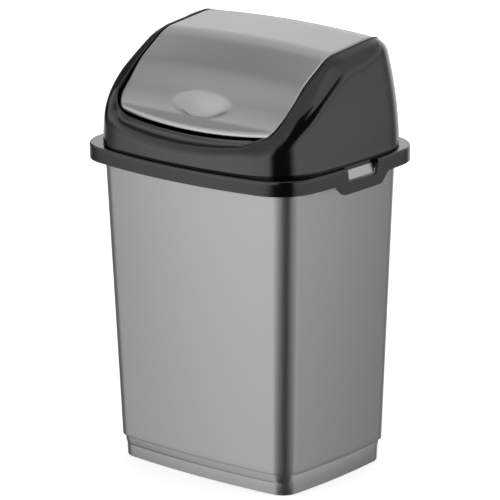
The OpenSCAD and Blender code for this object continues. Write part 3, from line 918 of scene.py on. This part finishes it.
class BIN_OT_flap(bpy.types.Operator):
    """Builds the swinging flap with its finger scoop and pivot pins"""
    bl_idname = "bin.flap"
    bl_label = "Flap"

    def execute(self, context):
        shape = FlapShape(HoodShape(*sizes()))
        rings = shape.rings()
        z = float(shape.skin(np.array(0.0), np.array(0.0)))
        ends = np.array([[0, 0, z - shape.f.wall], [0, 0, z]])
        points = np.concatenate([rings.reshape(-1, 3), ends])
        faces = capped_faces(len(rings), COLUMNS)
        h, r = shape.hood, shape.f.pin_d / 2
        x0, x1 = shape.a - shape.f.wall, shape.a + shape.f.gap + EAR_T - 0.2
        right = pin(h.pivot_y, h.pivot_z, r, x0, x1)
        left = (right[0] * [-1, 1, 1], [f[::-1] for f in right[1]])
        points, faces = joined([(points, faces), right, left])
        add_piece("flap_shell", points, faces, "flap_body", "flap",
                  silver_plastic())
        return {"FINISHED"}


# ---- materials

class Value:
    """A number in a material. Arithmetic on it adds Math nodes."""

    def __init__(self, nodes, socket):
        self.nodes, self.socket = nodes, socket

    def math(self, operation, *others):
        values = [self, *others]
        return self.nodes.add("ShaderNodeMath", {"operation": operation},
                              dict(enumerate(values)))

    __add__ = __radd__ = partialmethod(math, "ADD")
    __mul__ = __rmul__ = partialmethod(math, "MULTIPLY")
    __sub__ = partialmethod(math, "SUBTRACT")
    __truediv__ = partialmethod(math, "DIVIDE")

    def __rsub__(self, other):
        return self.nodes.add("ShaderNodeMath", {"operation": "SUBTRACT"},
                              {0: other, 1: self})

    def step(self, low, high):
        """Smooth step from 0 at low to 1 at high."""
        return self.nodes.add("ShaderNodeMapRange", {"interpolation_type": "SMOOTHSTEP"},
                              {"Value": self, "From Min": low, "From Max": high})

    def within(self, rise, fall):
        """1 between a smooth step up and a smooth step down, 0 outside."""
        return self.step(*rise) * (1 - self.step(*fall))

    def profile(self, stops):
        """Looks the number up in pairs of a number and its result."""
        first, last = stops[0][0], stops[-1][0]
        share = self.nodes.add("ShaderNodeMapRange", None,
                               {"Value": self, "From Min": first, "From Max": last})
        peak = max(level for _, level in stops)
        places = [((at - first) / (last - first), level / peak) for at, level in stops]
        return self.nodes.add("ShaderNodeValToRGB", {"stops": places},
                              {"Fac": share}) * peak


class Nodes:
    """Adds nodes to a node tree in a few words."""

    def __init__(self, tree):
        self.tree = tree
        tree.nodes.clear()

    def add(self, kind, settings=None, inputs=None, out=0):
        """Adds a node of a kind, sets it up and links or fills its inputs."""
        node = self.tree.nodes.new(kind)
        for key, value in (settings or {}).items():
            if key == "stops":
                self.set_stops(node.color_ramp, value)
            else:
                setattr(node, key, value)
        for key, value in (inputs or {}).items():
            if isinstance(value, Value):
                self.tree.links.new(value.socket, node.inputs[key])
            else:
                node.inputs[key].default_value = value
        return Value(self, node.outputs[out]) if node.outputs else None

    @staticmethod
    def set_stops(ramp, stops):
        """Colour ramp stops as place and grey level."""
        ramp.interpolation = "B_SPLINE"
        while len(ramp.elements) < len(stops):
            ramp.elements.new(1.0)
        for element, (place, level) in zip(ramp.elements, stops):
            element.position = place
            element.color = (level, level, level, 1.0)

    def noise(self, place, scale, detail=2.0, roughness=0.5):
        """Noise of about 1 / scale metres."""
        return self.add("ShaderNodeTexNoise", None,
                        {"Vector": place, "Scale": scale, "Detail": detail,
                         "Roughness": roughness})


def new_material(name):
    """An empty node material, with its nodes helper."""
    material = bpy.data.materials.get(name)
    if material:
        return material, None
    material = bpy.data.materials.new(name)
    material.use_nodes = True
    return material, Nodes(material.node_tree)


def plastic(n, tint, tone, rough, bump, gloss):
    """Shader of a plastic: a colour times a tone, a roughness, a bump and
    what else makes its gloss."""
    base = n.add("ShaderNodeMix", {"data_type": "RGBA", "blend_type": "MULTIPLY"},
                 {0: 1.0, 6: (*tint, 1.0), 7: tone}, out=2)
    normal = n.add("ShaderNodeBump", None, bump)
    shader = n.add("ShaderNodeBsdfPrincipled", None,
                   {"Base Color": base, "Roughness": rough, "Normal": normal, **gloss})
    n.add("ShaderNodeOutputMaterial", None, {"Surface": shader})


def silver_plastic():
    """Satin plastic filled with fine metal flake."""
    material, n = new_material("silver_plastic")
    if n is None:
        return material
    finish = bpy.context.scene.bin_finish
    place = n.add("ShaderNodeTexCoord", out=3)
    flake = n.noise(place, 1400.0, 3.0, 0.7)
    cloud = n.noise(place, 9.0, 2.0)
    tone = 0.96 + flake * 0.07 + cloud * 0.02
    plastic(n, finish.silver, tone, finish.silver_roughness - 0.04 + flake * 0.08,
            {"Height": flake, "Strength": 0.06, "Distance": 0.0003},
            {"Metallic": finish.silver_metal})
    return material


def black_plastic():
    """Glossy black plastic with the faint waviness of a moulded skin."""
    material, n = new_material("black_plastic")
    if n is None:
        return material
    finish = bpy.context.scene.bin_finish
    place = n.add("ShaderNodeTexCoord", out=3)
    wave = n.noise(place, 60.0, 2.0)
    haze = n.noise(place, 400.0, 3.0)
    plastic(n, finish.black, 0.85 + haze * 0.3, finish.black_roughness + haze * 0.05,
            {"Height": wave, "Strength": 0.05, "Distance": 0.0004}, {"IOR": 1.52})
    return material


# ---- stage

# The camera, from the fit to the photograph: place in millimetres, turn about
# Z, tilt and roll in radians, and the lens in millimetres
CAMERA_TURN, CAMERA_RUN, CAMERA_HEIGHT = 0.6976, 2422.1, 837.3
CAMERA_YAW, CAMERA_PITCH, CAMERA_ROLL = 0.6977, 0.2783, -0.0082
CAMERA_LENS = 270.95


def place_camera():
    """Camera at the photograph's angle."""
    data = bpy.data.cameras.new("camera")
    data.lens, data.sensor_width = CAMERA_LENS, 36.0
    camera = put_object("camera", data)
    sin, cos = math.sin, math.cos
    ahead = np.array([-sin(CAMERA_YAW) * cos(CAMERA_PITCH),
                      cos(CAMERA_YAW) * cos(CAMERA_PITCH), -sin(CAMERA_PITCH)])
    right = np.array([cos(CAMERA_YAW), sin(CAMERA_YAW), 0.0])
    up = np.cross(right, ahead)
    c, s = cos(CAMERA_ROLL), sin(CAMERA_ROLL)
    right, up = c * right + s * up, -s * right + c * up
    at = np.array([sin(CAMERA_TURN) * CAMERA_RUN, -cos(CAMERA_TURN) * CAMERA_RUN,
                   CAMERA_HEIGHT]) * MM
    camera.matrix_world = Matrix(np.vstack([
        np.stack([right, up, -ahead, at], 1), [0, 0, 0, 1]]).tolist())
    bpy.context.scene.camera = camera


# Studio light, as brightness against direction. Turn is the compass angle from
# the front towards the right, lift the angle above the horizon, in degrees.
LOW_BY_TURN = ((-180, 0.55), (-172, 0.85), (-155, 0.95), (-146, 0.5), (-138, 0.4),
               (-130, 0.8), (-118, 0.8), (-108, 0.2), (-92, 0.12), (-80, 0.3),
               (-70, 0.5), (-60, 0.95), (-50, 1.25), (-40, 1.55), (-30, 1.75),
               (0, 1.75), (60, 1.5), (90, 1.4), (110, 1.3), (130, 1.08),
               (140, 0.9), (150, 0.68), (160, 0.44), (170, 0.2), (180, 0.55))
LOW_BY_LIFT = ((-90, 0.5), (-55, 0.6), (-42, 0.75), (-37, 0.85), (-30, 0.6),
               (-22, 0.52), (-15, 1.05), (-8, 1.75), (3, 1.2), (20, 1.1), (90, 1.1))
HIGH_BY_TURN = ((-180, 1.0), (-150, 1.1), (-125, 1.0), (-110, 1.0), (-92, 0.85),
                (-75, 1.15), (-57, 1.5), (-40, 1.2), (0, 1.0), (70, 1.9),
                (110, 1.8), (140, 1.1), (180, 1.0))
HIGH_BY_LIFT = ((-90, 1.3), (12, 1.3), (20, 1.15), (28, 0.95), (36, 0.93),
                (44, 1.02), (52, 0.95), (60, 0.92), (76, 1.0), (90, 0.9))

# Soft steps of the light, each from one angle to another. The high profile
# takes over above the horizon, and a patch of light lies behind the crest.
HORIZON = (4.0, 16.0)
PATCH_END, PATCH_TOP, PATCH_LEVEL = (-144.0, -128.0), (22.0, 38.0), 0.5
# Dusk, which the flap's slope mirrors: its foot is slanted with the turn
DUSK_SLANT, DUSK_FOOT, DUSK_TOP = 0.3, (15.0, 21.0), (56.0, 62.0)
DUSK_TURN, DUSK_DEPTH = ((-116.0, -104.0), (-67.0, -60.0)), 0.7
# Shade at the left, which the bucket and the hood mirror
SHADE_TURN, SHADE_DEPTH = ((-128.0, -120.0), (-100.0, -92.0)), 0.9
SHADE_LIFT = ((-14.0, -4.0), (26.0, 34.0))
# Dark gap at the front right. Where the skirt, the walls and the cheek mirror
# it, and the turn and softness of its two edges on bucket, skirt, walls, cheek
SKIRT_LIFT, WALL_LIFT = (-18.5, -15.5), (-14.0, -9.0)
CHEEK_LIFT, GAP_TOP, GAP_DEPTH = ((6.0, 20.0), (36.0, 44.0)), (60.0, 70.0), 0.98
NEAR_EDGE, NEAR_SOFT = (-30.0, 0.0, 28.0, 28.0), (30.0, 26.0, 12.0, 12.0)
FAR_EDGE, FAR_SOFT = (122.0, 80.0, 80.0, 128.0), (24.0, 16.0, 16.0, 16.0)


def dark_gap(turn, lift):
    """The gap's darkness: 1 between its two edges, which follow the lift."""
    shares = lift.step(*SKIRT_LIFT), lift.step(*WALL_LIFT), lift.within(*CHEEK_LIFT)

    def edge(values):
        """The first value, changed at each share by the step to the next."""
        steps = zip(shares, values, values[1:])
        return sum((part * (after - before) for part, before, after in steps), values[0])

    near = ((turn - edge(NEAR_EDGE)) / edge(NEAR_SOFT)).step(0.0, 1.0)
    far = ((edge(FAR_EDGE) - turn) / edge(FAR_SOFT)).step(0.0, 1.0)
    return near * far * (1 - lift.step(*GAP_TOP))


def studio_light(level):
    """World light of large white softboxes, as a function of the direction:
    a low and a high profile, a bright patch behind the crest, and less light
    in the dusk, in the shade at the left and in the dark gap at the front
    right. What the camera sees directly is white."""
    world = bpy.data.worlds.new("studio")
    world.use_nodes = True
    bpy.context.scene.world = world
    n = Nodes(world.node_tree)
    way = n.add("ShaderNodeTexCoord", out=0)
    parts = n.tree.nodes.new("ShaderNodeSeparateXYZ")
    n.tree.links.new(way.socket, parts.inputs[0])
    x, y, z = (Value(n, parts.outputs[i]) for i in range(3))
    turn = x.math("ARCTAN2", 0.0 - y) * (180 / math.pi)
    lift = z.math("ARCSINE") * (180 / math.pi)
    low = turn.profile(LOW_BY_TURN) * lift.profile(LOW_BY_LIFT)
    patch = (1 - turn.step(*PATCH_END)) * (1 - lift.step(*PATCH_TOP))
    high = turn.profile(HIGH_BY_TURN) * lift.profile(HIGH_BY_LIFT) + patch * PATCH_LEVEL
    dusk = ((lift + turn * DUSK_SLANT).step(*DUSK_FOOT) * (1 - lift.step(*DUSK_TOP))
            * turn.within(*DUSK_TURN))
    high = high * (1 - dusk * DUSK_DEPTH)
    blend = lift.step(*HORIZON)
    shade = turn.within(*SHADE_TURN) * lift.within(*SHADE_LIFT)
    light = low * (1 - blend) + high * blend
    light = light * (1 - shade * SHADE_DEPTH) * (1 - dark_gap(turn, lift) * GAP_DEPTH) * level
    seen = n.add("ShaderNodeLightPath")
    sky = n.add("ShaderNodeBackground", None,
                {"Color": (1.0, 1.0, 1.0, 1.0), "Strength": seen + light * (1 - seen)})
    n.add("ShaderNodeOutputWorld", None, {"Surface": sky})


# Half the floor's side in millimetres, and the glow that the camera sees on it
FLOOR_REACH, FLOOR_GLOW = 6000.0, 0.5


def pale_floor(level):
    """White floor that keeps a faint shadow: it scatters the studio light
    and, for the camera only, is lifted to white."""
    corners = np.array([(-1, -1, 0), (1, -1, 0), (1, 1, 0), (-1, 1, 0)]) * FLOOR_REACH
    floor = put_object("floor", new_mesh("floor", corners, [(0, 1, 2, 3)], False))
    material, n = new_material("pale_floor")
    seen = n.add("ShaderNodeLightPath")
    paint = n.add("ShaderNodeBsdfDiffuse", None, {"Color": (level, level, level, 1)})
    glow = n.add("ShaderNodeEmission", None, {"Strength": seen * FLOOR_GLOW})
    both = n.add("ShaderNodeAddShader", None, {0: paint, 1: glow})
    n.add("ShaderNodeOutputMaterial", None, {"Surface": both})
    floor.data.materials.append(material)
    floor.visible_glossy = False


class BIN_OT_stage(bpy.types.Operator):
    """Places the camera, the studio light and the floor"""
    bl_idname = "bin.stage"
    bl_label = "Stage"

    def execute(self, context):
        stage = context.scene.bin_stage
        place_camera()
        studio_light(stage.light)
        pale_floor(stage.floor)
        context.scene.view_settings.view_transform = "Standard"
        return {"FINISHED"}


# ---- panel

GROUPS = {"bin_bucket": BinBucketSizes, "bin_hood": BinHoodSizes,
          "bin_flap": BinFlapSizes, "bin_finish": BinFinish, "bin_stage": BinStage}
OPERATORS = (BIN_OT_bucket, BIN_OT_hood, BIN_OT_flap, BIN_OT_stage)


class BIN_PT_panel(bpy.types.Panel):
    """Lists the pieces and their sizes in the sidebar"""
    bl_idname = "BIN_PT_panel"
    bl_label = "Countertop bin"
    bl_space_type = "VIEW_3D"
    bl_region_type = "UI"
    bl_category = "Bin"

    def draw(self, context):
        for operator in OPERATORS:
            self.layout.operator(operator.bl_idname)
        for name, group in GROUPS.items():
            box = self.layout.box()
            for key in group.__annotations__:
                box.prop(getattr(context.scene, name), key)


CLASSES = (*GROUPS.values(), *OPERATORS, BIN_PT_panel)


def register():
    for cls in CLASSES:
        bpy.utils.register_class(cls)
    for name, group in GROUPS.items():
        setattr(bpy.types.Scene, name, bpy.props.PointerProperty(type=group))


def unregister():
    for name in GROUPS:
        delattr(bpy.types.Scene, name)
    for cls in reversed(CLASSES):
        bpy.utils.unregister_class(cls)


def main():
    register()
    bpy.ops.bin.bucket()
    bpy.ops.bin.hood()
    bpy.ops.bin.flap()
    bpy.ops.bin.stage()


if __name__ == "__main__":
    main()
